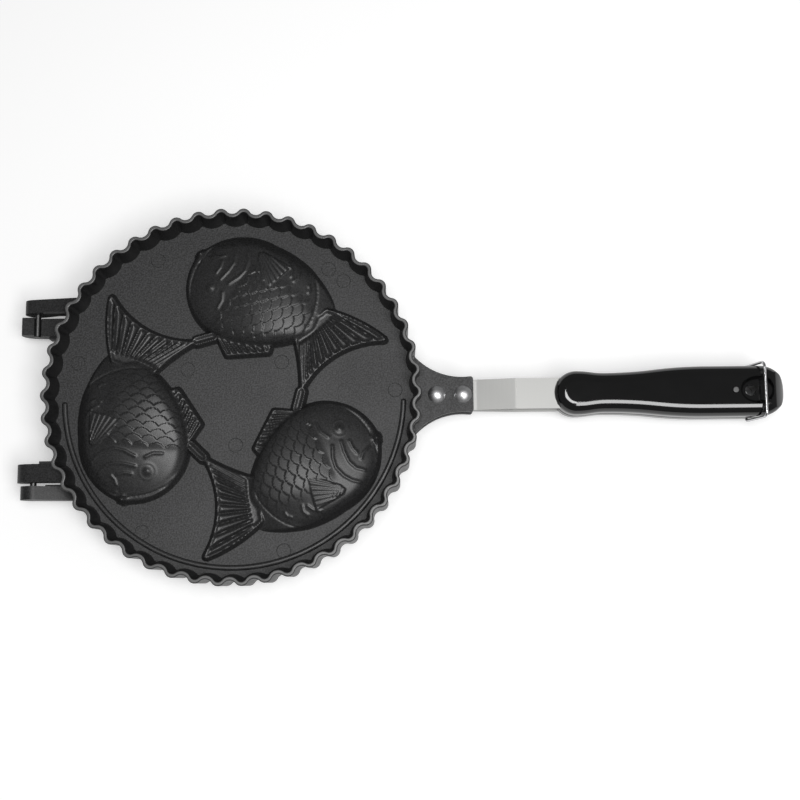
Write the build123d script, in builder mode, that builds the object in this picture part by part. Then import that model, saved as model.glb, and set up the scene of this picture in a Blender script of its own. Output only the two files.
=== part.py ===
from build123d import *
from math import cos, hypot, radians, sin, tan
import os

# Fish cake maker: two hinged cast pans with three fish moulds each, held shut by a wire clip.
# Millimetres. X runs from the hinge to the grips, Y across, Z up. The origin lies on the pan's
# axis, level with the edge of the lower rim. Both halves are the same kind of casting: the lower
# one is the upper one turned half a turn about the handle line, with its fish laid out so that
# each lies under its partner.

# ---- overall sizes ----
rim_height = 18.0          # rim edge above the parting plane, for each half
crest_radius = 100.0       # pan radius at the crests of the fluted rim
grip_length = 123.0
half_gap = 0.1             # what each half stays clear of the parting plane
parting = rim_height       # height of the parting plane
cut_margin = 1.0           # how far a cutting form starts outside what it cuts

# ---- fluted rim and floor ----
flute_count = 50
flute_depth = 3.0          # crest to valley
rim_wall = 2.3             # wall thickness at the rim edge
rim_draft = 2.4            # how much further in the wall's foot stands
floor_thickness = 3.5      # from the parting plane to the floor's outer face
plate_margin = 0.2         # floor plate's edge inside the rim's foot
outer_crest_share = 0.5    # share of each flute that its crest arc takes, outside
rim_crest_share = 0.32     # the same, inside at the rim edge
foot_crest_share = 0.14    # the same, inside at the foot
valley_radius = crest_radius - flute_depth
rim_crest, rim_valley = crest_radius - rim_wall, valley_radius - rim_wall
foot_crest, foot_valley = rim_crest - rim_draft, rim_valley - rim_draft
plate_radius = foot_valley - plate_margin

# ---- sealing groove, its backing bead and the tongue ----
tongue_width = 2.0
tongue_height = 1.6
groove_clearance = 0.4     # each side, and at the bottom
bead_width = 3.0
bead_height = 1.3
seal_margin = 0.2          # bead inside the plate's edge
seal_end_angle = 2.0       # how far the half rings stop short of the handle line
seal_radius = plate_radius - seal_margin - bead_width / 2

# ---- fish moulds ----
fish_names = ("front", "back", "left")
fish_x, fish_y = 44.3, -38.2   # centre of the first fish
fish_turn = 24.0               # its body line against X
body_height = 11.0             # dome above the floor's outer face
fin_height = 3.9               # tail and back fin above the floor's outer face
mould_wall = 2.8               # metal left between the cavity and the outside
# body: ends and middles of its arcs, from the foot of the tail joint, round the head, to its top
body_outline = [
    (-41.6, -17.0), (-19.0, -27.0), (5.0, -26.6), (28.0, -15.8), (36.9, 1.5), (24.0, 27.4),
    (4.2, 32.9), (-17.0, 25.4), (-32.5, 12.4),
]
body_tail_side = (-38.6, -1.5)
body_middle = (-1.0, 2.0)      # under the top of the dome
wall_share = 0.58              # share of the dome's height that its steep lower wall takes
wall_draft = 20.0
shoulder_draft = 52.0          # slope between that wall and the round crown
crown_radius = 95.0
# tail: ends and middles of its arcs, from the upper root by both tips to the lower root
tail_outline = [
    (-31.0, 9.0), (-42.5, 19.8), (-57.0, 40.0), (-55.6, 8.5), (-79.5, -20.3), (-56.5, -20.3),
    (-36.0, -15.0),
]
tail_corner_radius = 2.4
# back fin, from its front end along the free edge to its rear end, closed inside the body
fin_outline = [(6.0, 31.0), (-8.8, 39.3), (-28.0, 23.6), (-26.0, 17.5), (-8.0, 24.0)]
fin_corner_radius = 2.0
fin_draft = 20.0
fin_inset = 1.2            # cavity's edge inside the outside form's foot
# ribs of the tail and the back fin
rib_width = 1.2
rib_height = 0.8
tail_rib_count = 11
tail_rib_roots = [(-37.5, 9.5), (-41.0, -1.0), (-43.5, -14.0)]   # ends and middle of an arc
tail_rib_tips = [(-51.4, 27.5), (-52.8, 8.0), (-67.5, -15.6)]
fin_rib_count = 7
fin_rib_roots = [(-20.5, 20.8), (-9.0, 28.6), (2.5, 31.6)]
fin_rib_tips = [(-24.8, 23.6), (-16.0, 30.6), (-6.8, 36.2)]

# ---- hinge ----
hinge_reach = 7.0                      # pin's middle outside the rim's crests
hinge_x = -(crest_radius + hinge_reach)
pin_radius = 1.75
ear_inner, ear_outer = 46.4, 53.6      # across, on the ear's side
hook_inner, hook_outer = 35.0, 44.6    # across, on the hook's side
ear_boss_radius = 6.5
hook_outer_radius = 8.2
pin_clearance = 0.2                    # pin in the hook
press_clearance = 0.02                 # pin in the ear, rivets in their holes
pin_proud = 0.7                        # pin end past the hook
pin_cover = 1.5                        # metal left over the pin's end in the ear
pin_chamfer = 0.3
root_depth = 22.0                      # ear and hook are drawn from this far inside the crests
root_x = root_depth - crest_radius
root_length = 1.0
arm_low, arm_high = 5.0, 12.0          # ear and hook at the rim, above the parting plane
hook_lip = 1.2                         # mouth's edge outside the pin's middle
hook_tip_drop = 3.2                    # how far the hook's tip goes past the parting plane
web_reach = 1.5                        # webs end this far outside the crests
web_x = -(crest_radius + web_reach)
web_low, web_height = 3.2, 5.0
web_width = 1.2

# ---- handle tab, strap and rivets ----
tab_low, tab_high = 3.0, 6.5           # above the parting plane
tab_end = crest_radius + 27.5
tab_half_width = 9.75
tab_root_half_width = 21.0
tab_root_x = crest_radius - 4.0
tab_waist = (crest_radius + 7.0, 12.6)   # along X, half width
tab_corner_radius = 1.5
strap_thickness = 1.5
strap_width = 16.4
strap_start = crest_radius + 1.5
strap_bend_start = tab_end + 2.0
strap_bend_end = strap_bend_start + 20.5
strap_bend_radius = 6.0
strap_middle_height = 6.0              # middle of the strap inside the grip
strap_end_radius = 4.0
grip_start = strap_bend_end + 20.6
grip_end = grip_start + grip_length
tang_width = 11.0
tang_start = grip_start - 4.6
tang_end = grip_end - 23.6
rivet_places = {"inner": crest_radius + 8.0, "outer": crest_radius + 22.0}
rivet_head_radius = 4.7
rivet_head_height = 2.2
rivet_radius = 2.5
rivet_tail_radius = 3.6
rivet_tail_height = 1.1

# ---- grips ----
grip_low, grip_high = 0.3, 12.0        # above the parting plane
grip_bulb_half_width = 11.65
grip_waist = (grip_start + 26.9, 10.45)   # along X, half width
grip_full_x = grip_end - 43.6          # from here on the grip keeps its full width
grip_half_width = 13.5
grip_shoulder_radius = 6.0
grip_edge_radius = 0.8
tang_clearance = 0.1
dish_x = grip_end - 15.7
dish_length, dish_width = 19.0, 14.6
dish_depth = 2.8
dish_slope = 1.6                       # how far the dish narrows to its floor
hanging_hole_x = grip_end - 19.1
hanging_hole_radius = 3.0
grip_pin_x = grip_end - 27.7
grip_pin_radius = 1.65
grip_pin_bottom = 1.5
grip_pin_proud = 0.4

# ---- wire clip ----
wire_radius = 0.75
clip_pivot_x = grip_end - 18.2
clip_pivot_depth = 6.2                 # pivots below the parting plane, in the lower grip
clip_cross_x = clip_pivot_x + 5.5      # cross wire when shut
clip_slack = 1.6                       # wire above the upper grip when shut
clip_clearance = 0.35                  # wire to grip
clip_bend_radius = 3.0                 # to the middle of the wire, here and below
clip_end_bend_radius = 1.6
clip_end_depth = 4.0                   # bent end inside the grip's side
clip_hole_clearance = 0.1


def ring_point(radius, angle):
    """Point at a radius and an angle in degrees."""
    return (radius * cos(radians(angle)), radius * sin(radians(angle)))


def mirrored(points, side):
    """Points turned over for the lower half, still in anticlockwise order."""
    return [(x, y * side) for x, y in points][::side]


def wave_section(place, crest, valley, crest_share):
    """Ring of flutes: each is a crest arc and a valley arc that meet smoothly."""
    half_crest = 180 / flute_count * crest_share
    turn = crest - (crest - valley) * crest_share
    start = ring_point(turn, -half_crest)
    end = ring_point(turn, half_crest)
    following = ring_point(turn, 360 / flute_count - half_crest)
    with BuildLine() as flute:
        ThreePointArc(start, (crest, 0), end)
        ThreePointArc(end, ring_point(valley, 180 / flute_count), following)
    with BuildSketch(place) as section:
        with PolarLocations(0, flute_count):
            add(flute.line)
        make_face()
    return section.sketch


def half_ring_section(place, radius, width, handle_side_angle):
    """Slot along half a circle, short of the handle line at both ends."""
    first = handle_side_angle + seal_end_angle
    last = handle_side_angle + 180 - seal_end_angle
    with BuildSketch(place) as section:
        SlotArc(Edge.make_circle(radius, start_angle=first, end_angle=last), width)
    return section.sketch


def body_section(place, inset, side):
    """Outline of the fish body, drawn in all round."""
    points = mirrored(body_outline + [body_tail_side, body_outline[0]], side)
    with BuildSketch(place) as section:
        with BuildLine():
            for start in range(0, len(points) - 1, 2):
                ThreePointArc(*points[start:start + 3])
        make_face()
        if inset:
            offset(amount=-inset)
    return section.sketch


def tail_section(place, inset, side):
    """Outline of the fish's tail, drawn in all round."""
    points = mirrored(tail_outline, side)
    with BuildSketch(place) as section:
        with BuildLine():
            for start in range(0, len(points) - 1, 2):
                ThreePointArc(*points[start:start + 3])
            Line(points[-1], points[0])
        make_face()
        if inset:
            offset(amount=-inset)
        fillet(section.vertices(), tail_corner_radius - inset / 2)
    return section.sketch


def fin_section(place, inset, side):
    """Outline of the fish's back fin, drawn in all round."""
    with BuildSketch(place) as section:
        with BuildLine():
            Polyline(mirrored(fin_outline, side), close=True)
        make_face()
        if inset:
            offset(amount=-inset)
        fillet(section.vertices(), fin_corner_radius)
    return section.sketch


def drafted(section, place, height, draft_angle):
    """Straight extrusion whose walls then lean inwards from its foot, as castings need."""
    with BuildPart() as form:
        extrude(section, amount=height)
        walls = [face for face in form.faces() if abs(face.normal_at().dot(place.z_dir)) < 0.5]
        draft(walls, neutral_plane=place, angle=draft_angle)
    return form.part


def fish_dome(place, height, inset, side):
    """Domed body of a fish: steep wall, sloping shoulder and a crown cut from a large ball."""
    wall_height = height * wall_share
    wall_top = place.offset(wall_height)
    wall_inset = inset + wall_height * tan(radians(wall_draft))
    crown_centre = (body_middle[0], body_middle[1] * side, height - crown_radius)
    with BuildPart() as dome:
        add(drafted(body_section(place, inset, side), place, wall_height, wall_draft))
        shoulder = body_section(wall_top, wall_inset, side)
        add(drafted(shoulder, wall_top, height - wall_height, shoulder_draft))
        # the ball lies on its side, so that neither its poles nor its seam fall on the crown
        with Locations(place.location * Location(crown_centre, (90, 0, 0))):
            Sphere(crown_radius, mode=Mode.INTERSECT)
    return dome.part


def rib_section(place, roots, tips, count, side):
    """Straight ribs that fan out from one arc to another."""
    with BuildLine():
        root_arc = ThreePointArc(*mirrored(roots, side))
        tip_arc = ThreePointArc(*mirrored(tips, side))
    with BuildSketch(place) as section:
        for rib in range(count):
            spine = Edge.make_line(root_arc @ (rib / (count - 1)), tip_arc @ (rib / (count - 1)))
            middle = spine @ 0.5
            angle = (spine % 0).get_signed_angle(Vector(1, 0, 0), Vector(0, 0, -1))
            with Locations(Location((middle.X, middle.Y, 0), (0, 0, angle))):
                Rectangle(spine.length, rib_width)
    return section.sketch


def fish_places(half, side):
    """One plane for each fish, with X along its body line towards the head."""
    places = {}
    for number, name in enumerate(fish_names):
        turn = number * 360 / len(fish_names)
        centre = Location((0, 0, 0), (0, 0, turn * side))
        own = Location((fish_x, fish_y * side, 0), (0, 0, fish_turn * side))
        places[name] = Plane(half.location * centre * own)
    return places


def web_section(place):
    """Strip that joins the rim to the side of an ear or a hook."""
    with BuildSketch(place) as section:
        with BuildLine():
            Polyline(
                (root_x, web_low), (web_x, web_low),
                (web_x, arm_low + web_height), (root_x, arm_low + web_height),
                close=True,
            )
        make_face()
    return section.sketch


def across(half, distance):
    """Plane that holds a half's X and Z, at a distance across, facing towards minus Y."""
    return Plane(half.location * Location((0, distance, 0), (90, 0, 0)))


def lengthways(start, height, side):
    """Plane that faces along plus X, at a height above one half's parting plane."""
    return Plane(origin=(start, 0, parting + side * height), x_dir=(0, 1, 0), z_dir=(1, 0, 0))


os.makedirs("parts", exist_ok=True)

# the clip's wire runs above the upper grip and turns about its bent ends in the lower one
clip_rise = clip_pivot_depth + grip_high + clip_slack + wire_radius
clip_radius = hypot(clip_cross_x - clip_pivot_x, clip_rise)
clip_side = grip_half_width + clip_clearance + wire_radius

halves = {"lower": -1, "upper": 1}

for half_name, side in halves.items():
    # own frame of this half: Z points outwards from the parting plane
    half_axis = Axis((0, 0, parting), (0, 0, side))
    half = Plane(origin=(0, 0, parting), x_dir=(1, 0, 0), z_dir=(0, 0, side))

    # casting: one piece of metal, kept as a floor plate, three fish moulds, a rim, a handle tab,
    # an ear and a hook, which meet face to face
    outer_form = extrude(
        wave_section(half.offset(half_gap), crest_radius, valley_radius, outer_crest_share),
        amount=rim_height - half_gap,
    )

    # fish moulds: ribbed tail and back fin beside a domed body, hollow on the cooking face
    fin_depth = floor_thickness + fin_height - mould_wall - half_gap
    body_depth = floor_thickness + body_height - mould_wall - half_gap
    fish_sections = (tail_section, fin_section, body_section)
    for place_name, place in fish_places(half, side).items():
        face, floor = place.offset(half_gap), place.offset(floor_thickness)
        fin_top = place.offset(floor_thickness + fin_height)
        with BuildPart() as mould:
            # foot in the plate, then the forms that stand out of it
            for section in fish_sections:
                extrude(section(face, 0, side), amount=floor_thickness - half_gap)
            for section in (tail_section, fin_section):
                add(drafted(section(floor, 0, side), floor, fin_height, fin_draft))
            for roots, tips, count in (
                (tail_rib_roots, tail_rib_tips, tail_rib_count),
                (fin_rib_roots, fin_rib_tips, fin_rib_count),
            ):
                extrude(rib_section(fin_top, roots, tips, count, side), amount=rib_height)
            add(fish_dome(floor, body_height, 0, side))
            # the same forms as hollows
            for section in (tail_section, fin_section):
                hollow = drafted(section(face, fin_inset, side), face, fin_depth, fin_draft)
                add(hollow, mode=Mode.SUBTRACT)
            add(fish_dome(face, body_depth, mould_wall, side), mode=Mode.SUBTRACT)
        mould.part.label = half_name + "_mould_" + place_name
        export_step(mould.part, "parts/" + half_name + "_mould_" + place_name + ".step")

    # floor plate with the seal, open where the moulds are
    with BuildPart() as plate:
        with BuildSketch(half.offset(half_gap)):
            Circle(plate_radius)
        extrude(amount=floor_thickness - half_gap)
        # seal: a bead outside over the groove, on the hook's side, and a tongue on the ear's side
        extrude(
            half_ring_section(half.offset(floor_thickness), seal_radius, bead_width, 180),
            amount=bead_height,
        )
        extrude(
            half_ring_section(
                half.offset(half_gap), seal_radius, tongue_width + 2 * groove_clearance, 180
            ),
            amount=tongue_height + groove_clearance,
            mode=Mode.SUBTRACT,
        )
        extrude(
            half_ring_section(half.offset(half_gap), seal_radius, tongue_width, 0),
            amount=-tongue_height,
        )
        for place in fish_places(half, side).values():
            for section in fish_sections:
                extrude(
                    section(place.offset(half_gap), 0, side),
                    amount=floor_thickness - half_gap,
                    mode=Mode.SUBTRACT,
                )
    plate.part.label = half_name + "_plate"
    export_step(plate.part, "parts/" + half_name + "_plate.step")

    # fluted rim, its inner wall leaning outwards from the foot to the edge
    with BuildPart() as rim:
        add(outer_form)
        with BuildSketch(half.offset(half_gap)):
            Circle(plate_radius)
        extrude(amount=floor_thickness - half_gap, mode=Mode.SUBTRACT)
        loft(
            [
                wave_section(half.offset(floor_thickness), foot_crest, foot_valley, foot_crest_share),
                wave_section(half.offset(rim_height), rim_crest, rim_valley, rim_crest_share),
            ],
            ruled=True,
            mode=Mode.SUBTRACT,
        )
    rim.part.label = half_name + "_rim"
    export_step(rim.part, "parts/" + half_name + "_rim.step")

    # handle tab, waisted, with the holes for the strap's rivets
    with BuildPart() as tab:
        with BuildSketch(half.offset(tab_low)) as tab_outline:
            with BuildLine():
                ThreePointArc(
                    (tab_root_x, tab_root_half_width), tab_waist, (tab_end, tab_half_width)
                )
                Line((tab_end, tab_half_width), (tab_end, -tab_half_width))
                ThreePointArc(
                    (tab_end, -tab_half_width),
                    (tab_waist[0], -tab_waist[1]),
                    (tab_root_x, -tab_root_half_width),
                )
                Line((tab_root_x, -tab_root_half_width), (tab_root_x, tab_root_half_width))
            make_face()
            fillet(tab_outline.vertices().group_by(Axis.X)[-1], tab_corner_radius)
        extrude(amount=tab_high - tab_low)
        add(outer_form, mode=Mode.SUBTRACT)
        with Locations(half.offset(tab_high)):
            with Locations(*[(place, 0) for place in rivet_places.values()]):
                Hole(rivet_radius + press_clearance, depth=tab_high - tab_low)
    tab.part.label = half_name + "_tab"
    export_step(tab.part, "parts/" + half_name + "_tab.step")

    # hinge ear, a plate that narrows from the rim to the boss round its pin
    with BuildPart() as ear:
        with BuildSketch(across(half, ear_outer)):
            with Locations((hinge_x, 0)):
                Circle(ear_boss_radius)
            with Locations((root_x, (arm_low + arm_high) / 2)):
                Rectangle(root_length, arm_high - arm_low)
            make_hull()
        extrude(amount=ear_outer - ear_inner)
        extrude(web_section(across(half, ear_inner)), amount=web_width)
        add(outer_form, mode=Mode.SUBTRACT)
        with BuildSketch(across(half, ear_outer - pin_cover)):
            with Locations((hinge_x, 0)):
                Circle(pin_radius + press_clearance)
        extrude(amount=ear_outer - ear_inner, mode=Mode.SUBTRACT)
    ear.part.label = half_name + "_ear"
    export_step(ear.part, "parts/" + half_name + "_ear.step")

    # hinge hook, an arm over the other half's pin with its tip turned down outside it
    mouth_x = hinge_x - hook_lip
    with BuildPart() as hook:
        with BuildSketch(across(half, -hook_inner)):
            with Locations((hinge_x, 0)):
                Circle(hook_outer_radius)
            with Locations((root_x, (arm_low + arm_high) / 2)):
                Rectangle(root_length, arm_high - arm_low)
            make_hull()
            with Locations((hinge_x, 0)):
                Circle(pin_radius + pin_clearance, mode=Mode.SUBTRACT)
            # its mouth, open towards the pan, and the end of its tip
            with BuildLine():
                Polyline(
                    (hinge_x, 0),
                    (root_x + root_length, 0),
                    (root_x + root_length, -hook_outer_radius),
                    (hinge_x - hook_outer_radius, -hook_outer_radius),
                    (hinge_x - hook_outer_radius, -hook_tip_drop),
                    (mouth_x, -hook_tip_drop),
                    (mouth_x, -pin_radius),
                    close=True,
                )
            make_face(mode=Mode.SUBTRACT)
        extrude(amount=hook_outer - hook_inner)
        extrude(web_section(across(half, web_width - hook_inner)), amount=web_width)
        add(outer_form, mode=Mode.SUBTRACT)
    hook.part.label = half_name + "_hook"
    export_step(hook.part, "parts/" + half_name + "_hook.step")

    # hinge pin, pressed into the ear
    with BuildPart() as hinge_pin:
        with BuildSketch(across(half, ear_outer - pin_cover)):
            with Locations((hinge_x, 0)):
                Circle(pin_radius)
        extrude(amount=ear_outer - pin_cover - hook_inner + pin_proud)
        chamfer(hinge_pin.edges().group_by(Axis.Y)[0 if side > 0 else -1], pin_chamfer)
    hinge_pin.part.label = half_name + "_hinge_pin"
    export_step(hinge_pin.part, "parts/" + half_name + "_hinge_pin.step")

    # strap: flat under the tab, stepped out to the middle of the grip, then a narrower tang
    flat_middle = tab_low - strap_thickness / 2
    with BuildPart() as strap:
        with BuildLine(across(half, 0)):
            FilletPolyline(
                (strap_start, flat_middle),
                (strap_bend_start, flat_middle),
                (strap_bend_end, strap_middle_height),
                (tang_end, strap_middle_height),
                radius=strap_bend_radius,
            )
        with BuildSketch(lengthways(strap_start, flat_middle, side)):
            Rectangle(strap_width, strap_thickness)
        sweep()
        # rounded front end, narrow tang
        with BuildSketch(half):
            with Locations(((strap_start + tang_end) / 2, 0)):
                Rectangle(
                    tang_end - strap_start + 2 * cut_margin, strap_width + 2 * cut_margin
                )
            with BuildSketch(mode=Mode.SUBTRACT) as kept:
                with Locations(((strap_start + tang_start) / 2, 0)):
                    Rectangle(tang_start - strap_start, strap_width)
                with Locations(((tang_start + tang_end) / 2, 0)):
                    Rectangle(tang_end - tang_start, tang_width)
                fillet(kept.vertices().group_by(Axis.X)[0], strap_end_radius)
        extrude(amount=grip_high, mode=Mode.SUBTRACT)
        with Locations(half.offset(grip_high)):
            with Locations(*[(place, 0) for place in rivet_places.values()]):
                Hole(rivet_radius + press_clearance, depth=grip_high)
            with Locations((grip_pin_x, 0)):
                Hole(grip_pin_radius + press_clearance, depth=grip_high)
    strap.part.label = half_name + "_strap"
    export_step(strap.part, "parts/" + half_name + "_strap.step")

    # rivets: domed head on the tab, shank, flat closed tail under the strap
    for place_name, rivet_x in rivet_places.items():
        head_curve = (rivet_head_radius**2 + rivet_head_height**2) / (2 * rivet_head_height)
        tail_low = flat_middle - strap_thickness / 2 - rivet_tail_height
        with BuildPart() as rivet:
            with BuildSketch(across(half, 0)) as profile:
                with BuildLine():
                    Line((rivet_x, tail_low), (rivet_x, tab_high + rivet_head_height))
                    RadiusArc(
                        (rivet_x, tab_high + rivet_head_height),
                        (rivet_x + rivet_head_radius, tab_high),
                        head_curve,
                    )
                    Polyline(
                        (rivet_x + rivet_head_radius, tab_high),
                        (rivet_x + rivet_radius, tab_high),
                        (rivet_x + rivet_radius, tail_low + rivet_tail_height),
                        (rivet_x + rivet_tail_radius, tail_low + rivet_tail_height),
                        (rivet_x + rivet_tail_radius, tail_low),
                        (rivet_x, tail_low),
                    )
                make_face()
            revolve(axis=Axis((rivet_x, 0, parting), (0, 0, 1)))
        rivet.part.label = half_name + "_rivet_" + place_name
        export_step(rivet.part, "parts/" + half_name + "_rivet_" + place_name + ".step")

    # grip: bulb, waist and swell along its length, with a nose that clears the swinging clip
    bulb_x = grip_start + grip_bulb_half_width
    nose_x = grip_end - grip_half_width
    grip_widths = [(bulb_x, grip_bulb_half_width), grip_waist, (grip_full_x, grip_half_width)]
    with BuildPart() as grip:
        with BuildSketch(half.offset(grip_low)):
            with BuildLine():
                RadiusArc((grip_start, 0), (bulb_x, grip_bulb_half_width), grip_bulb_half_width)
                # the waist: from each width to the next, two equal arcs that meet halfway
                for start, end in zip(grip_widths, grip_widths[1:]):
                    middle = ((start[0] + end[0]) / 2, (start[1] + end[1]) / 2)
                    leaving = TangentArc(start, middle, tangent=(1, 0))
                    TangentArc(middle, end, tangent=leaving % 1)
                Line((grip_full_x, grip_half_width), (nose_x, grip_half_width))
                RadiusArc((nose_x, grip_half_width), (grip_end, 0), grip_half_width)
                mirror(about=Plane.XZ)
            make_face()
        extrude(amount=grip_high - grip_low)
        fillet(grip.faces().sort_by(half_axis)[-1].edges(), grip_shoulder_radius)
        fillet(grip.faces().sort_by(half_axis)[0].edges(), grip_edge_radius)
        # nose kept inside the clip's swing
        with BuildSketch(across(half, grip_half_width)):
            with Locations((clip_pivot_x + clip_radius, 0)):
                Rectangle(2 * clip_radius, 4 * grip_high)
            with Locations((clip_pivot_x, -clip_pivot_depth)):
                Circle(clip_radius - wire_radius - clip_clearance, mode=Mode.SUBTRACT)
        extrude(amount=2 * grip_half_width, mode=Mode.SUBTRACT)
        # slot for the tang
        with BuildSketch(lengthways(grip_start, strap_middle_height, side)):
            Rectangle(tang_width + 2 * tang_clearance, strap_thickness + 2 * tang_clearance)
        extrude(amount=tang_end - grip_start + tang_clearance, mode=Mode.SUBTRACT)
        # dish with the hanging hole
        for height, shrink in ((grip_high - dish_depth, dish_slope), (grip_high, 0)):
            with BuildSketch(half.offset(height)):
                with Locations((dish_x, 0)):
                    Ellipse(dish_length / 2 - shrink, dish_width / 2 - shrink)
        loft(mode=Mode.SUBTRACT)
        with Locations(half.offset(grip_high)):
            with Locations((hanging_hole_x, 0)):
                Hole(hanging_hole_radius, depth=grip_high)
            with Locations((grip_pin_x, 0)):
                Hole(grip_pin_radius + press_clearance, depth=grip_high - grip_pin_bottom)
        # the lower grip's side holes for the clip's bent ends
        if half_name == "lower":
            hole_depth = cut_margin + clip_end_depth + clip_hole_clearance
            for flank in (1, -1):
                with BuildSketch(across(half, flank * (grip_half_width + cut_margin))):
                    with Locations((clip_pivot_x, clip_pivot_depth)):
                        Circle(wire_radius + clip_hole_clearance)
                extrude(amount=flank * hole_depth, mode=Mode.SUBTRACT)
    grip.part.label = half_name + "_grip"
    export_step(grip.part, "parts/" + half_name + "_grip.step")

    # pin that holds the tang in the grip, its round head level with the grip
    with BuildPart() as grip_pin:
        with BuildSketch(half.offset(grip_pin_bottom + press_clearance)):
            with Locations((grip_pin_x, 0)):
                Circle(grip_pin_radius)
        extrude(amount=grip_high - grip_pin_bottom + grip_pin_proud)
        fillet(grip_pin.edges().sort_by(half_axis)[-1], grip_pin_proud)
    grip_pin.part.label = half_name + "_grip_pin"
    export_step(grip_pin.part, "parts/" + half_name + "_grip_pin.step")

# wire clip: one bent wire, its ends turned into the lower grip's sides
clip_frame = Plane(
    origin=(clip_pivot_x, 0, parting - clip_pivot_depth),
    x_dir=(0, 1, 0),
    z_dir=(clip_rise, 0, clip_pivot_x - clip_cross_x),
)
with BuildPart() as wire_clip:
    with BuildLine(clip_frame) as clip_path:
        FilletPolyline(
            (clip_side - clip_clearance - wire_radius - clip_end_depth, 0),
            (clip_side, 0),
            (clip_side, clip_radius),
            (-clip_side, clip_radius),
            (-clip_side, 0),
            (-clip_side + clip_clearance + wire_radius + clip_end_depth, 0),
            radius=[clip_end_bend_radius, clip_bend_radius, clip_bend_radius, clip_end_bend_radius],
        )
    with BuildSketch(Plane(clip_path.line @ 0, z_dir=clip_path.line % 0)):
        Circle(wire_radius)
    sweep()
wire_clip.part.label = "wire_clip"
export_step(wire_clip.part, "parts/wire_clip.step")
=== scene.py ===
from math import cos, pi, radians, sin

import bmesh
import bpy
import numpy as np
from mathutils import Matrix, Vector
from mathutils.bvhtree import BVHTree


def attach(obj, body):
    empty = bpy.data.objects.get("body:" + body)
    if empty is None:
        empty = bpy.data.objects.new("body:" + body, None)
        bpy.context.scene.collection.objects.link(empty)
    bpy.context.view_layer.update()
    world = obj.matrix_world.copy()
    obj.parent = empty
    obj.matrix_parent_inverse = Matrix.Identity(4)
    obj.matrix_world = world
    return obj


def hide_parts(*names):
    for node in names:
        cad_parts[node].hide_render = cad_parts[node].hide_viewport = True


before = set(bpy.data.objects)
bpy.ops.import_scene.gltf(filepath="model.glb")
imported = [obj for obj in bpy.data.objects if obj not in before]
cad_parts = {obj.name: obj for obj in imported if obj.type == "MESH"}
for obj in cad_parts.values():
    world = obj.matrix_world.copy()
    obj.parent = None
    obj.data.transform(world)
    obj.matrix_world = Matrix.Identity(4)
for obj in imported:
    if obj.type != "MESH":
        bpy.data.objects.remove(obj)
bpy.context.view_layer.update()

# Each half of the maker is one aluminium casting with a dark non-stick coat: a floor plate with
# three fish moulds, a fluted rim, a handle tab, a hinge ear and a hinge hook. The coat lies
# grainy on the floor and the tab, finer on the hinge, and smooth on the moulds and the rim.
halves = {"lower": -1, "upper": 1}
parting = 0.018
mm = 0.001


def new_finish(name):
    """Material with its nodes, its links and its one shader."""
    finish = bpy.data.materials.new(name)
    finish.use_nodes = True
    nodes = finish.node_tree.nodes
    return finish, nodes, finish.node_tree.links, nodes["Principled BSDF"]


def link_in(piece_name, mesh, half_name):
    """New piece that moves with one half of the maker."""
    piece = bpy.data.objects.new(piece_name, mesh)
    bpy.context.collection.objects.link(piece)
    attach(piece, half_name + "_half")
    return piece


def put_on(piece, finish):
    """Gives a piece one finish all over."""
    piece.data.materials.clear()
    piece.data.materials.append(finish)


def coat(name, grey, grain_size, grain_depth, roughness, sheen):
    """Sprayed dark coat: a fine grain in tone and height, and a slow change of gloss."""
    finish, nodes, links, shader = new_finish(name)
    place = nodes.new("ShaderNodeTexCoord")
    grain = nodes.new("ShaderNodeTexNoise")
    grain.inputs["Scale"].default_value = 1 / grain_size
    grain.inputs["Detail"].default_value = 3.0
    links.new(place.outputs["Object"], grain.inputs["Vector"])
    cloud = nodes.new("ShaderNodeTexNoise")
    cloud.inputs["Scale"].default_value = 28.0
    cloud.inputs["Detail"].default_value = 4.0
    links.new(place.outputs["Object"], cloud.inputs["Vector"])
    tone = nodes.new("ShaderNodeValToRGB")
    tone.color_ramp.elements[0].position = 0.38
    tone.color_ramp.elements[0].color = (0.5 * grey, 0.5 * grey, 0.5 * grey, 1)
    tone.color_ramp.elements[1].position = 0.64
    tone.color_ramp.elements[1].color = (1.6 * grey, 1.6 * grey, 1.65 * grey, 1)
    links.new(grain.outputs["Fac"], tone.inputs["Fac"])
    links.new(tone.outputs["Color"], shader.inputs["Base Color"])
    gloss = nodes.new("ShaderNodeMapRange")
    gloss.inputs["From Min"].default_value = 0.3
    gloss.inputs["From Max"].default_value = 0.7
    gloss.inputs["To Min"].default_value = roughness - 0.05
    gloss.inputs["To Max"].default_value = roughness + 0.05
    links.new(cloud.outputs["Fac"], gloss.inputs["Value"])
    links.new(gloss.outputs["Result"], shader.inputs["Roughness"])
    bump = nodes.new("ShaderNodeBump")
    bump.inputs["Strength"].default_value = 0.5
    bump.inputs["Distance"].default_value = grain_depth
    links.new(grain.outputs["Fac"], bump.inputs["Height"])
    links.new(bump.outputs["Normal"], shader.inputs["Normal"])
    shader.inputs["Specular IOR Level"].default_value = sheen
    return finish


# The coats differ in grain and gloss, and in tone too: the smooth coat is darker than the grainy
# one, and this is partly painted shade on the moulds and the bead.
grainy_coat = coat("grainy_coat", 0.033, 0.8 * mm, 0.16 * mm, 0.50, 0.40)
smooth_coat = coat("smooth_coat", 0.019, 0.6 * mm, 0.03 * mm, 0.36, 0.50)
hinge_coat = coat("hinge_coat", 0.020, 0.7 * mm, 0.06 * mm, 0.46, 0.40)
for half_name in halves:
    put_on(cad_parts[half_name + "_tab"], grainy_coat)
    put_on(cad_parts[half_name + "_ear"], hinge_coat)
    put_on(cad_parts[half_name + "_hook"], hinge_coat)
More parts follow.
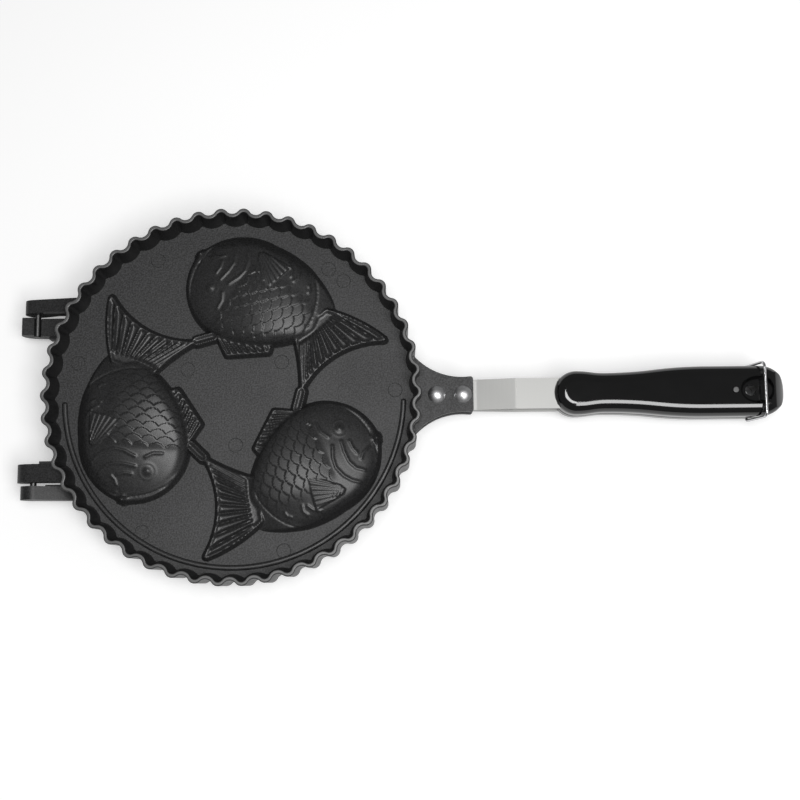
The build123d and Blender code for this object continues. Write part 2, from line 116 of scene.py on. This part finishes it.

# The rim's edge and the bead behind the seal are cast with round edges, and the rim's foot runs
# round in shallower flutes than its edge. A thin band just under the rim's edge is painted
# lighter, as a painted highlight.
floor_level = 3.5 * mm
rim_level = 18.0 * mm
bead_level = floor_level + 1.3 * mm
foot_crest = 95.3 * mm
foot_inside, foot_outside = 92.2 * mm, 95.4 * mm
foot_shift = 0.3 * mm
foot_flattening = 0.66
rim_round, bead_round = 0.75 * mm, 1.2 * mm
round_steps = 4
level_slack = 0.01 * mm
raised_slack = 0.05 * mm
weld_reach, sliver_reach = 0.002 * mm, 0.004 * mm
flat_angle, sharp_angle = radians(1), radians(40)
# Painted highlight along the rim's edge: the depth band where it lies and its grey.
painted_highlight_low, painted_highlight_high = rim_level - 0.16 * mm, rim_level - 0.03 * mm
painted_highlight_grey = 0.10


def depth_of(vert):
    """Height of a point above or below the parting plane."""
    return abs(vert.co.z - parting)


def all_at(verts, level):
    """Whether all points lie at one height."""
    return all(abs(depth_of(vert) - level) < level_slack for vert in verts)


def merged_copy(piece_name):
    """CAD mesh of a piece with its doubled points joined."""
    form = bmesh.new()
    form.from_mesh(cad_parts[piece_name].data)
    bmesh.ops.remove_doubles(form, verts=form.verts, dist=weld_reach)
    bmesh.ops.dissolve_degenerate(form, edges=form.edges, dist=sliver_reach)
    return form


def round_edges(form, level, radius):
    """Rounds the sharp edges that lie at one height."""
    flat = [edge for edge in form.edges if all_at(edge.verts, level)]
    inner = [edge for edge in flat if edge.calc_face_angle(0) < flat_angle]
    bmesh.ops.dissolve_limit(form, angle_limit=flat_angle, verts=[], edges=inner)
    level_edges = [edge for edge in form.edges if all_at(edge.verts, level)]
    sharp = [edge for edge in level_edges if edge.calc_face_angle(0) > sharp_angle]
    bmesh.ops.bevel(
        form, geom=sharp, offset=radius, offset_type="OFFSET", segments=round_steps,
        profile=0.5, affect="EDGES", material=-1, clamp_overlap=True,
    )


def stand_in(form, piece_name, finishes, sharpest=sharp_angle):
    """Puts a finished mesh in the place of a CAD piece, its level faces left flat."""
    mesh = bpy.data.meshes.new(piece_name + "_finished")
    form.to_mesh(mesh)
    form.free()
    mesh.set_sharp_from_angle(angle=sharpest)
    for face in mesh.polygons:
        levels = [mesh.vertices[index].co.z for index in face.vertices]
        face.use_smooth = max(levels) - min(levels) > 0.001 * mm
    piece = link_in(piece_name + "_finished", mesh, piece_name.split("_")[0])
    for finish in finishes:
        mesh.materials.append(finish)
    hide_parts(piece_name)


# The rim coat's very dark tone is partly painted shade on the rim's walls. Its floor ring takes the
# lighter grainy coat.
rim_coat = coat("rim_coat", 0.010, 0.6 * mm, 0.03 * mm, 0.36, 0.50)
nodes, links = rim_coat.node_tree.nodes, rim_coat.node_tree.links
shader = nodes["Principled BSDF"]
place = nodes.new("ShaderNodeTexCoord")
parts = nodes.new("ShaderNodeSeparateXYZ")
links.new(place.outputs["Object"], parts.inputs["Vector"])
offset = nodes.new("ShaderNodeMath")
offset.operation = "SUBTRACT"
offset.inputs[1].default_value = parting
links.new(parts.outputs["Z"], offset.inputs[0])
reach = nodes.new("ShaderNodeMath")
reach.operation = "ABSOLUTE"
links.new(offset.outputs["Value"], reach.inputs[0])
# Painted highlight: the base colour turns lighter grey in a thin band just under the rim's edge.
painted_highlight_band = nodes.new("ShaderNodeMapRange")
painted_highlight_band.inputs["From Min"].default_value = painted_highlight_low
painted_highlight_band.inputs["From Max"].default_value = painted_highlight_high
links.new(reach.outputs["Value"], painted_highlight_band.inputs["Value"])
lighter = nodes.new("ShaderNodeMix")
lighter.data_type = "RGBA"
lighter.inputs["B"].default_value = (painted_highlight_grey, painted_highlight_grey, painted_highlight_grey, 1)
links.new(painted_highlight_band.outputs["Result"], lighter.inputs["Factor"])
links.new(shader.inputs["Base Color"].links[0].from_socket, lighter.inputs["A"])
links.new(lighter.outputs["Result"], shader.inputs["Base Color"])

for half_name in halves:
    rim = merged_copy(half_name + "_rim")
    for vert in rim.verts:
        reach = vert.co.xy.length
        if all_at([vert], floor_level) and foot_inside < reach < foot_outside:
            wanted = foot_crest + foot_shift - foot_flattening * (foot_crest - reach)
            vert.co.xy *= wanted / reach
    round_edges(rim, rim_level, rim_round)
    for face in rim.faces:
        face.material_index = 1 if all_at(face.verts, floor_level) else 0
    stand_in(rim, half_name + "_rim", [rim_coat, grainy_coat])
    plate = merged_copy(half_name + "_plate")
    round_edges(plate, bead_level, bead_round)
    # The bead takes the darker smooth coat, partly as painted shade on its flanks.
    for face in plate.faces:
        raised = max(depth_of(vert) for vert in face.verts) > floor_level + raised_slack
        face.material_index = 1 if raised else 0
    stand_in(plate, half_name + "_plate", [grainy_coat, smooth_coat])

# The floor keeps the faint round marks of the pins that pushed the casting out of its die.
# They are thin raised rings of the same metal, under the same coat.
mark_radius = 3.7 * mm
mark_width = 0.22 * mm
mark_sides, mark_steps = 8, 40
mark_places = [(-24.9, 15.3), (25.3, 18.8), (0.9, -25.7)]
mark_reach = 86.0
mark_angles = (2.0, 47.0, 54.0, 119.0, 167.0, 236.0, 288.0)
for half_name, side in halves.items():
    marks = bmesh.new()
    turned = [
        (mark_reach * cos(radians(angle)), mark_reach * sin(radians(angle))) for angle in mark_angles
    ]
    for x, y in mark_places + turned:
        centre = Vector((x * mm, y * mm, parting + side * floor_level))
        laid = Matrix.Translation(centre + Vector((mark_radius, 0, 0))) @ Matrix.Rotation(
            radians(90), 4, "X"
        )
        ring = bmesh.ops.create_circle(
            marks, segments=mark_sides, radius=mark_width, matrix=laid
        )
        edges = list({edge for vert in ring["verts"] for edge in vert.link_edges})
        bmesh.ops.spin(
            marks, geom=ring["verts"] + edges, cent=centre, axis=(0, 0, 1), angle=2 * pi,
            steps=mark_steps, use_merge=True,
        )
    bmesh.ops.remove_doubles(marks, verts=marks.verts, dist=0.001 * mm)
    bmesh.ops.recalc_face_normals(marks, faces=marks.faces)
    for face in marks.faces:
        face.smooth = True
    mesh = bpy.data.meshes.new(half_name + "_die_marks")
    marks.to_mesh(mesh)
    marks.free()
    piece = link_in(half_name + "_die_marks", mesh, half_name)
    put_on(piece, grainy_coat)

# The fish moulds: domed bodies with scales, gill covers, an eye and side fins, and ribbed tails
# and back fins, standing out on the outside and hollow on the cooking face. They are parts of
# the same casting, carved here where the CAD forms are plain. Their outlines are in millimetres
# in each fish's own frame, with its snout along the first axis.
face_level = 0.1 * mm
fish_centre = (44.3 * mm, -38.2 * mm)
fish_turn = 24.0
patch_low, patch_high = (-84.0, -33.0), (42.0, 52.0)
patch_edge = 2.0
patch_dip = 0.15
foot_blend = 0.6
body_softness = 2.4
edge_softness = 0.35
fin_top = 3.9
rib_top = 4.7
fin_border = 1.5
groove_depth = 1.2 * mm
rib_lift = 0.5 * mm
rib_half_width = 0.75
rib_fans = (
    (
        [(-37.5, 9.5), (-41.0, -1.0), (-43.5, -14.0)],
        [(-51.4, 27.5), (-52.8, 8.0), (-67.5, -15.6)],
        11,
    ),
    (
        [(-20.5, 20.8), (-9.0, 28.6), (2.5, 31.6)],
        [(-24.8, 23.6), (-16.0, 30.6), (-6.8, 36.2)],
        7,
    ),
)
tail_lobe = [(-52.8, 30.0), (-54.6, 34.4), (-56.2, 38.6)]
lobe_half_width = 2.3
snout_place = (35.6, 0.8)
snout_height = 3.0
snout_radius = 2.2
seal_inside = 88.4 * mm

scale_step = 3.6
scale_height = 8.3
scale_radius = 4.9
scale_first = 9.0
scale_columns = 14
scale_lift = 0.9
eye_place = (19.3, 13.2)
gill_lines = [
    [(12.0, 6.0), (9.6, 0.0), (9.0, -5.0), (11.0, -10.5), (14.0, -14.5), (17.5, -17.0)],
    [(17.2, 6.5), (16.4, 0.5), (16.6, -5.0), (18.6, -9.5), (22.5, -12.5)],
    [(21.3, 5.0), (21.3, 1.0), (22.4, -2.5)],
    [(9.2, 20.0), (9.6, 15.5), (12.0, 11.5)],
    [(23.2, -5.8), (25.2, -3.6), (27.8, -2.6)],
    [(-25.0, -15.5), (-24.6, -17.4), (-23.0, -18.6)],
    [(-15.2, -15.8), (-16.0, -18.6), (-14.6, -21.2)],
    [(-12.6, -17.0), (-11.0, -20.0), (-7.4, -22.2)],
]
mouth_line = [(38.0, 0.6), (34.0, 0.4), (30.5, -1.6)]
side_fin = [
    (-6.4, -4.2), (1.0, -8.6), (7.4, -14.2), (9.0, -17.2), (7.2, -19.0), (0.0, -20.0),
    (-9.4, -20.8), (-8.2, -12.0),
]
side_fin_root = (15.0, -21.0)
side_fin_ribs = 6
side_fin_spread = radians(40)
line_width, line_height = 0.75, 0.5
mouth_width, mouth_depth = 0.8, 0.5
eye_radius, eye_ring_radius, eye_ring_width, eye_ring_height = 2.0, 4.2, 0.7, 0.12
inner_carving_share = 0.8


def rise(value, low, high):
    """Smooth step from 0 to 1."""
    share = np.clip((value - low) / (high - low), 0.0, 1.0)
    return share * share * (3 - 2 * share)


def line_distance(along, across, points, closed=False):
    """Distance from each grid point to a line through points."""
    ends = points[1:] + points[:1] if closed else points[1:]
    nearest = np.full(along.shape, 1e3)
    for (x0, y0), (x1, y1) in zip(points, ends):
        run, lift = x1 - x0, y1 - y0
        share = ((along - x0) * run + (across - y0) * lift) / (run * run + lift * lift)
        share = np.clip(share, 0.0, 1.0)
        nearest = np.minimum(nearest, np.hypot(along - x0 - share * run, across - y0 - share * lift))
    return nearest


def inside_of(along, across, points):
    """Whether each grid point lies inside a closed outline."""
    odd = np.zeros(along.shape, bool)
    for (x0, y0), (x1, y1) in zip(points, points[1:] + points[:1]):
        crosses = (y0 > across) != (y1 > across)
        odd ^= crosses & (along < (x1 - x0) * (across - y0) / (y1 - y0 + 1e-9) + x0)
    return odd


def carving(along, across):
    """Height in millimetres that the body's scales, gills, eye and side fin add."""
    scales = np.zeros(along.shape)
    bare = np.ones(along.shape, bool)
    for column in range(scale_columns):
        middle = scale_first - column * scale_step
        rows = np.round((across / scale_height) - 0.5 * (column % 2)) + 0.5 * (column % 2)
        reach = np.hypot(along - middle, across - rows * scale_height)
        here = bare & (reach < scale_radius)
        lean = (middle - along) / scale_radius
        scales = np.where(here, scale_lift * np.clip(0.25 + 0.75 * lean, 0.0, 1.0), scales)
        bare &= ~here
    scales *= rise(across, -15.0, -6.0) * rise(-along, -9.0, -4.0)
    lines = np.zeros(along.shape)
    for points in gill_lines:
        away = line_distance(along, across, points)
        lines = np.maximum(lines, np.exp(-((away / line_width) ** 2)))
    mouth = np.exp(-((line_distance(along, across, mouth_line) / mouth_width) ** 2))
    eye_reach = np.hypot(along - eye_place[0], across - eye_place[1])
    eye = np.exp(-((eye_reach / eye_radius) ** 2))
    ring_reach = (eye_reach - eye_ring_radius) / eye_ring_width
    eye += eye_ring_height * np.exp(-(ring_reach**2))
    fin_edge = line_distance(along, across, side_fin, closed=True)
    fin_edge = np.where(inside_of(along, across, side_fin), fin_edge, -fin_edge)
    fin = rise(fin_edge, -0.4, 0.5)
    turn = np.arctan2(across - side_fin_root[1], side_fin_root[0] - along)
    ribs = 0.5 + 0.5 * np.cos(turn / side_fin_spread * 2 * pi * side_fin_ribs)
    scales = np.where(fin > 0.02, scales * (1 - fin), scales)
    return scales + line_height * lines - mouth_depth * mouth + eye + fin * (0.55 + 0.35 * ribs)


def softened(heights, spread):
    """Heights blurred over a number of grid steps."""
    for repeat in range(max(1, round(spread * spread / 0.3))):
        around = sum(np.roll(heights, shift, axis) for shift in (1, -1) for axis in (0, 1))
        heights = 0.4 * heights + 0.15 * around
    return heights


def grown(mask, steps):
    """Mask widened by whole grid steps."""
    for repeat in range(steps):
        mask = mask | sum(np.roll(mask, shift, axis) for shift in (1, -1) for axis in (0, 1)) > 0
    return mask


def laid_heights(tree, spots, side, outside):
    """How far the casting's outer or cooking face stands out at each spot, before carving."""
    level = floor_level if outside else face_level
    start, way = (parting + 0.03 * side, -side) if outside else (parting - 0.01 * side, side)
    heights = np.full(len(spots), level)
    for index, (x, y) in enumerate(spots):
        if x * x + y * y < seal_inside**2:
            hit = tree.ray_cast(Vector((x, y, start)), Vector((0, 0, way)))[0]
            heights[index] = side * (hit.z - parting) if hit else level
    return heights


def carved_heights(heights, carving_depth, outside, step):
    """Faces with their hard CAD edges softened and the carving laid on the body."""
    level = floor_level if outside else face_level
    body = grown(heights > level + 5.2 * mm, round(1.0 / step)).astype(float)
    body = softened(body, 1.2 / step)
    smooth = softened(heights, body_softness / step)
    fine = softened(heights, edge_softness / step)
    crown = softened(rise(heights, level + 3.5 * mm, level + 6.5 * mm), 1.0 / step)
    return body * smooth + (1 - body) * fine + carving_depth * crown * mm


def arc_point(points, share):
    """Point on the curve through three points."""
    weights = (
        2 * share * share - 3 * share + 1, 4 * share - 4 * share * share, 2 * share * share - share
    )
    return tuple(sum(w * point[axis] for w, point in zip(weights, points)) for axis in (0, 1))


def rib_crests(along, across):
    """Ridges of the tail and the back fin, from 0 to 1."""
    nearest = np.full(along.shape, 1e3)
    for roots, tips, count in rib_fans:
        for rib in range(count):
            share = rib / (count - 1)
            line = [arc_point(roots, share), arc_point(tips, share)]
            nearest = np.minimum(nearest, line_distance(along, across, line))
    return np.exp(-((nearest / rib_half_width) ** 2))


def own_form(heights, step):
    """Cells that stand out of the floor and belong to this fish, not to its neighbour."""
    raised = heights > floor_level + raised_slack
    middle = np.zeros(heights.shape, bool)
    middle[round(-patch_low[1] / step), round(-patch_low[0] / step)] = True
    size = 0
    while middle.sum() > size:
        size = middle.sum()
        middle = grown(middle, 3) & raised
    return middle


def grooves(heights, step):
    """Where the tail and the back fin lie inside their border."""
    top = np.abs(heights - floor_level - fin_top * mm) < 0.15 * mm
    rib = np.abs(heights - floor_level - rib_top * mm) < 0.15 * mm
    core = ~grown(~(top | rib), round(fin_border / step))
    return rib, softened(core.astype(float), 0.5 / step)


fine_step = 0.45
columns = round((patch_high[0] - patch_low[0]) / fine_step) + 1
rows = round((patch_high[1] - patch_low[1]) / fine_step) + 1
along, across = np.meshgrid(
    patch_low[0] + fine_step * np.arange(columns), patch_low[1] + fine_step * np.arange(rows)
)
body_carving = carving(along, across)
crests = rib_crests(along, across)
lobe_edge = lobe_half_width - line_distance(along, across, tail_lobe)
lobe = fin_top * mm * rise(lobe_edge, -1.4, 0.1)
snout_reach = np.hypot(along - snout_place[0], across - snout_place[1])
snout = snout_height * np.exp(-((snout_reach / snout_radius) ** 2))
for half_name, side in halves.items():
    casting = bmesh.new()
    for name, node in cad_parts.items():
        if name.startswith((half_name + "_plate", half_name + "_mould")):
            casting.from_mesh(node.data)
    tree = BVHTree.FromBMesh(casting)
    casting.free()
    for number, mould_name in enumerate(("front", "back", "left")):
        laid = Matrix.Rotation(radians(120) * number, 4, "Z")
        laid = laid @ Matrix.Translation((*fish_centre, 0))
        laid = np.array(laid @ Matrix.Rotation(radians(fish_turn), 4, "Z"))
        spots = laid[:2, :2] @ np.array([along.ravel() * mm, across.ravel() * mm])
        spots = spots.T + laid[:2, 3]
        outer = laid_heights(tree, spots, side, True).reshape(along.shape)
        inner = laid_heights(tree, spots, side, False).reshape(along.shape)
        own = own_form(outer, fine_step)
        outer = np.where(own, outer, floor_level)
        inner = np.where(grown(own, 1), inner, face_level)
        outer = np.maximum(outer, floor_level + lobe)
        kept = grown(outer > floor_level + raised_slack, round(patch_edge / fine_step))
        kept &= np.hypot(spots[:, 0], spots[:, 1]).reshape(along.shape) < seal_inside
        ribs, core = grooves(outer, fine_step)
        outer = np.where(ribs, floor_level + fin_top * mm, outer)
        outer += core * (rib_lift * crests - groove_depth * (1 - crests))
        outer = carved_heights(outer, body_carving, True, fine_step) + snout * mm
        inner = carved_heights(inner, inner_carving_share * body_carving, False, fine_step)
        outer -= patch_dip * mm * (1 - rise(outer, floor_level, floor_level + foot_blend * mm))
        inner += patch_dip * mm * (1 - rise(inner, face_level, face_level + foot_blend * mm))
        mould = bmesh.new()
        cell_of = mould.verts.layers.int.new("cell")
        grid = bmesh.ops.create_grid(
            mould, x_segments=columns - 1, y_segments=rows - 1, size=0.5
        )
        unwanted = []
        for vert in grid["verts"]:
            column = round((vert.co.x + 0.5) * (columns - 1))
            row = round((vert.co.y + 0.5) * (rows - 1))
            vert[cell_of] = row * columns + column
            vert.co.xy = spots[vert[cell_of]]
            vert.co.z = parting + side * inner.flat[vert[cell_of]]
            if not kept[row, column]:
                unwanted.append(vert)
        bmesh.ops.delete(mould, geom=unwanted, context="VERTS")
        loose = [vert for vert in mould.verts if not vert.link_faces]
        bmesh.ops.delete(mould, geom=loose, context="VERTS")
        raised = bmesh.ops.extrude_face_region(mould, geom=mould.faces[:])
        for part in raised["geom"]:
            if isinstance(part, bmesh.types.BMVert):
                part.co.z = parting + side * outer.flat[part[cell_of]]
        bmesh.ops.recalc_face_normals(mould, faces=mould.faces)
        stand_in(mould, half_name + "_mould_" + mould_name, [smooth_coat])

# The hinge pins and grip pins are dark drawn steel, slightly dull from turning. A hinge pin
# sits in its half's ear, and a grip pin holds the strap's tang inside the grip.
def wandering_finish(name, scale, gloss, tones=None, metallic=1.0, detail=2.0, stretch=None):
    """Finish whose tone and roughness wander with one fine noise."""
    finish, nodes, links, shader = new_finish(name)
    shader.inputs["Metallic"].default_value = metallic
    place = nodes.new("ShaderNodeTexCoord").outputs["Object"]
    if stretch:
        mapping = nodes.new("ShaderNodeMapping")
        mapping.inputs["Scale"].default_value = stretch
        links.new(place, mapping.inputs["Vector"])
        place = mapping.outputs["Vector"]
    noise = nodes.new("ShaderNodeTexNoise")
    noise.inputs["Scale"].default_value = scale
    noise.inputs["Detail"].default_value = detail
    links.new(place, noise.inputs["Vector"])
    if tones:
        ramp = nodes.new("ShaderNodeValToRGB")
        for stop, tone in zip(ramp.color_ramp.elements, tones):
            stop.color = (*tone, 1)
        links.new(noise.outputs["Fac"], ramp.inputs["Fac"])
        links.new(ramp.outputs["Color"], shader.inputs["Base Color"])
    if gloss[0] < gloss[1]:
        roughness = nodes.new("ShaderNodeMapRange")
        roughness.inputs["To Min"].default_value = gloss[0]
        roughness.inputs["To Max"].default_value = gloss[1]
        links.new(noise.outputs["Fac"], roughness.inputs["Value"])
        links.new(roughness.outputs["Result"], shader.inputs["Roughness"])
    else:
        shader.inputs["Roughness"].default_value = gloss[0]
    return finish


pin_steel = wandering_finish("pin_steel", 900.0, (0.36, 0.48))
pin_steel.node_tree.nodes["Principled BSDF"].inputs["Base Color"].default_value = (
    0.12, 0.12, 0.12, 1
)
for half_name in halves:
    for piece_name in ("hinge_pin", "grip_pin"):
        put_on(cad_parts[half_name + "_" + piece_name], pin_steel)

# The straps are bent stainless strip, brushed across their length, and riveted under the tabs.
# The shoulder where the strip narrows to its tang lies further in, at the end of the grip.
strap_steel = wandering_finish(
    "strap_steel", 1.0, (0.52, 0.60), ((0.40, 0.40, 0.39), (0.46, 0.46, 0.45)),
    stretch=(3200.0, 60.0, 200.0),
)
shoulder_x = 166.0 * mm
shoulder_slack = 0.05 * mm
shoulder_half = 7.0 * mm
inner_reach, outer_reach = 5.8 * mm, 7.8 * mm
facet_angle = radians(1)
for half_name in halves:
    strap = merged_copy(half_name + "_strap")
    for vert in strap.verts:
        if abs(vert.co.x - shoulder_x) < shoulder_slack:
            vert.co.x += outer_reach if abs(vert.co.y) > shoulder_half else inner_reach
    stand_in(strap, half_name + "_strap", [strap_steel], facet_angle)

# The rivets are polished aluminium with domed heads, set by a press. Two of them hold each
# strap to its tab.
rivet_metal = wandering_finish(
    "rivet_metal", 350.0, (0.30, 0.46), ((0.62, 0.62, 0.63), (0.80, 0.80, 0.81))
)
for half_name in halves:
    for piece_name in ("rivet_inner", "rivet_outer"):
        put_on(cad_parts[half_name + "_" + piece_name], rivet_metal)

# The grips are moulded black plastic with a high gloss, dished at the hanging hole. Each is
# pushed over its strap's tang and held by the grip pin.
grip_black = wandering_finish(
    "grip_black", 90.0, (0.05, 0.11), ((0.0012, 0.0012, 0.0013), (0.0026, 0.0026, 0.0028)),
    metallic=0.0, detail=3.0,
)
grip_black.node_tree.nodes["Principled BSDF"].inputs["Specular IOR Level"].default_value = 0.8
for half_name in halves:
    put_on(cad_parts[half_name + "_grip"], grip_black)

# The clip is one bent length of bright steel wire. Its ends turn in the sides of the lower
# grip, and it swings over both grips to hold them shut.
clip_wire = wandering_finish(
    "clip_wire", 700.0, (0.2, 0.2), ((0.60, 0.60, 0.61), (0.78, 0.78, 0.79))
)
put_on(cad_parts["wire_clip"], clip_wire)

# The studio: a white table under a soft lamp, a grey surround that the metal and the coat
# mirror, and a second high lamp in front of the grips for the streak along them.
table_size, table_drop = 6.0, 0.3 * mm
table_grey, table_glow = 0.86, 0.27
surround_grey, mirrored_grey = 0.26, 0.15
bpy.ops.mesh.primitive_plane_add(size=table_size, location=(0.1, 0, -table_drop))
table = bpy.context.object
table.name = "table"
table_white, nodes, links, shader = new_finish("table_white")
shader.inputs["Base Color"].default_value = (table_grey, table_grey, table_grey, 1)
shader.inputs["Roughness"].default_value = 0.9
shader.inputs["Specular IOR Level"].default_value = 0.0
seen = nodes.new("ShaderNodeLightPath")
glow = nodes.new("ShaderNodeMath")
glow.operation = "MULTIPLY"
glow.inputs[1].default_value = table_glow
links.new(seen.outputs["Is Camera Ray"], glow.inputs[0])
shader.inputs["Emission Color"].default_value = (1, 1, 1, 1)
links.new(glow.outputs["Value"], shader.inputs["Emission Strength"])
put_on(table, table_white)

world = bpy.data.worlds.new("surround")
bpy.context.scene.world = world
world.use_nodes = True
nodes, links = world.node_tree.nodes, world.node_tree.links
surround = nodes["Background"]
surround.inputs["Color"].default_value = (surround_grey, surround_grey, surround_grey, 1)
mirrored = nodes.new("ShaderNodeBackground")
mirrored.inputs["Color"].default_value = (mirrored_grey, mirrored_grey, mirrored_grey, 1)
white = nodes.new("ShaderNodeBackground")
white.inputs["Color"].default_value = (1, 1, 1, 1)
seen = nodes.new("ShaderNodeLightPath")
dimmed = nodes.new("ShaderNodeMixShader")
links.new(seen.outputs["Is Glossy Ray"], dimmed.inputs["Fac"])
links.new(surround.outputs["Background"], dimmed.inputs[1])
links.new(mirrored.outputs["Background"], dimmed.inputs[2])
choice = nodes.new("ShaderNodeMixShader")
links.new(seen.outputs["Is Camera Ray"], choice.inputs["Fac"])
links.new(dimmed.outputs["Shader"], choice.inputs[1])
links.new(white.outputs["Background"], choice.inputs[2])
links.new(choice.outputs["Shader"], nodes["World Output"].inputs["Surface"])


def soft_lamp(name, spot, target, width, depth, power):
    """Area lamp that faces a target."""
    lamp = bpy.data.lights.new(name, "AREA")
    lamp.shape = "RECTANGLE"
    lamp.size = width
    lamp.size_y = depth
    lamp.energy = power
    holder = bpy.data.objects.new(name, lamp)
    bpy.context.collection.objects.link(holder)
    aim = (Vector(target) - Vector(spot)).to_track_quat("-Z", "Y")
    holder.matrix_world = Matrix.Translation(spot) @ aim.to_matrix().to_4x4()


soft_lamp(
    "pan_lamp", spot=(0.10, -0.03, 1.0), target=(0.05, 0, 0), width=0.32, depth=0.36, power=3.6
)
soft_lamp(
    "grip_lamp", spot=(0.48, -0.36, 1.1), target=(0.48, -0.36, 0), width=0.42, depth=0.62, power=6.6
)

# The camera stands a little in front of the handle line and looks down at it.
tilt, roll = radians(8.05), radians(-0.63)
camera_spot = (0.0874, -0.0988, 0.7028)
lens = bpy.data.cameras.new("camera")
lens.sensor_width = 36.0
lens.lens = 58.0
camera = bpy.data.objects.new("camera", lens)
bpy.context.collection.objects.link(camera)
stance = Matrix.Rotation(roll, 4, "Z") @ Matrix.Rotation(tilt, 4, "X")
camera.matrix_world = Matrix.Translation(camera_spot) @ stance
bpy.context.scene.camera = camera
bpy.context.scene.view_settings.view_transform = "Standard"
